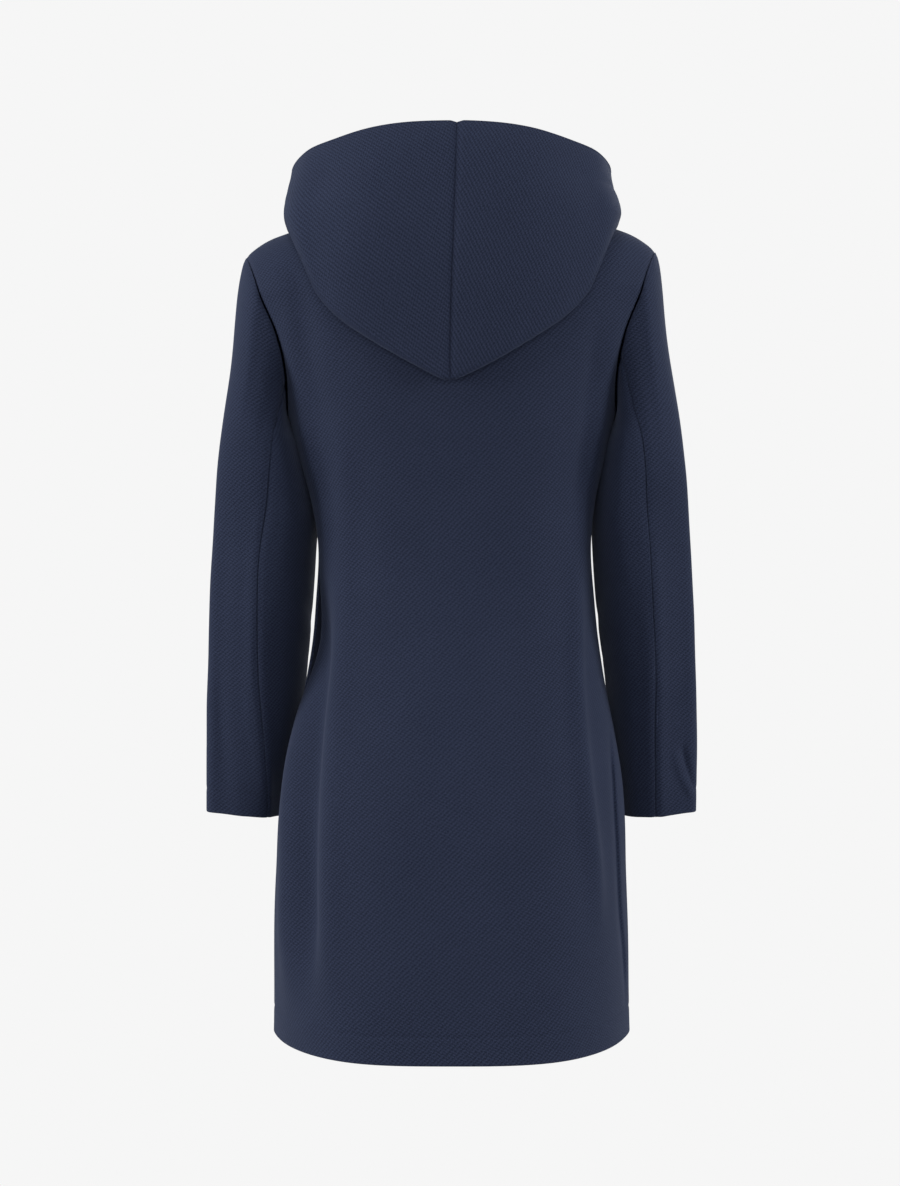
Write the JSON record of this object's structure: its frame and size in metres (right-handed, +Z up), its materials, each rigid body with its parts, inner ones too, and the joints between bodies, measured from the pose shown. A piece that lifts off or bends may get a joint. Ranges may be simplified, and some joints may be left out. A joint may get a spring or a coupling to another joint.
{
  "type": "hooded duffle coat",
  "caption": "Women's hooded wool coat, open and filled out as if worn, with two-piece sleeves, a hood lying back and toggle fastenings.",
  "frame": {"origin": "midway between the wearer's two neck points, where the shoulder seams meet the neckline, on the wearer's shoulders", "axes": "+Z up the wearer's back, the front of the coat faces -Y, +X is the wearer's left"},
  "size_m": [0.5192, 0.3312, 0.9268],
  "materials": {
    "navy_wool_twill": "brushed wool twill, soft nap",
    "navy_leather": "smooth, low sheen",
    "navy_cord": "braided cotton cord",
    "dark_horn": "polished dark horn"
  },
  "bodies": {
    "root": {"back": "navy_wool_twill", "front_left": "navy_wool_twill", "front_right": "navy_wool_twill", "sleeve_top_left": "navy_wool_twill", "sleeve_under_left": "navy_wool_twill", "sleeve_top_right": "navy_wool_twill", "sleeve_under_right": "navy_wool_twill", "hood_left": "navy_wool_twill", "hood_right": "navy_wool_twill", "toggle_tab_1": "navy_leather", "toggle_tab_2": "navy_leather", "toggle_tab_3": "navy_leather", "loop_tab_1": "navy_leather", "loop_tab_2": "navy_leather", "loop_tab_3": "navy_leather", "toggle_cord_1": "navy_cord", "toggle_cord_2": "navy_cord", "toggle_cord_3": "navy_cord", "loop_cord_1": "navy_cord", "loop_cord_2": "navy_cord", "loop_cord_3": "navy_cord", "toggle_1": "dark_horn", "toggle_2": "dark_horn", "toggle_3": "dark_horn"}
  },
  "joints": []
}
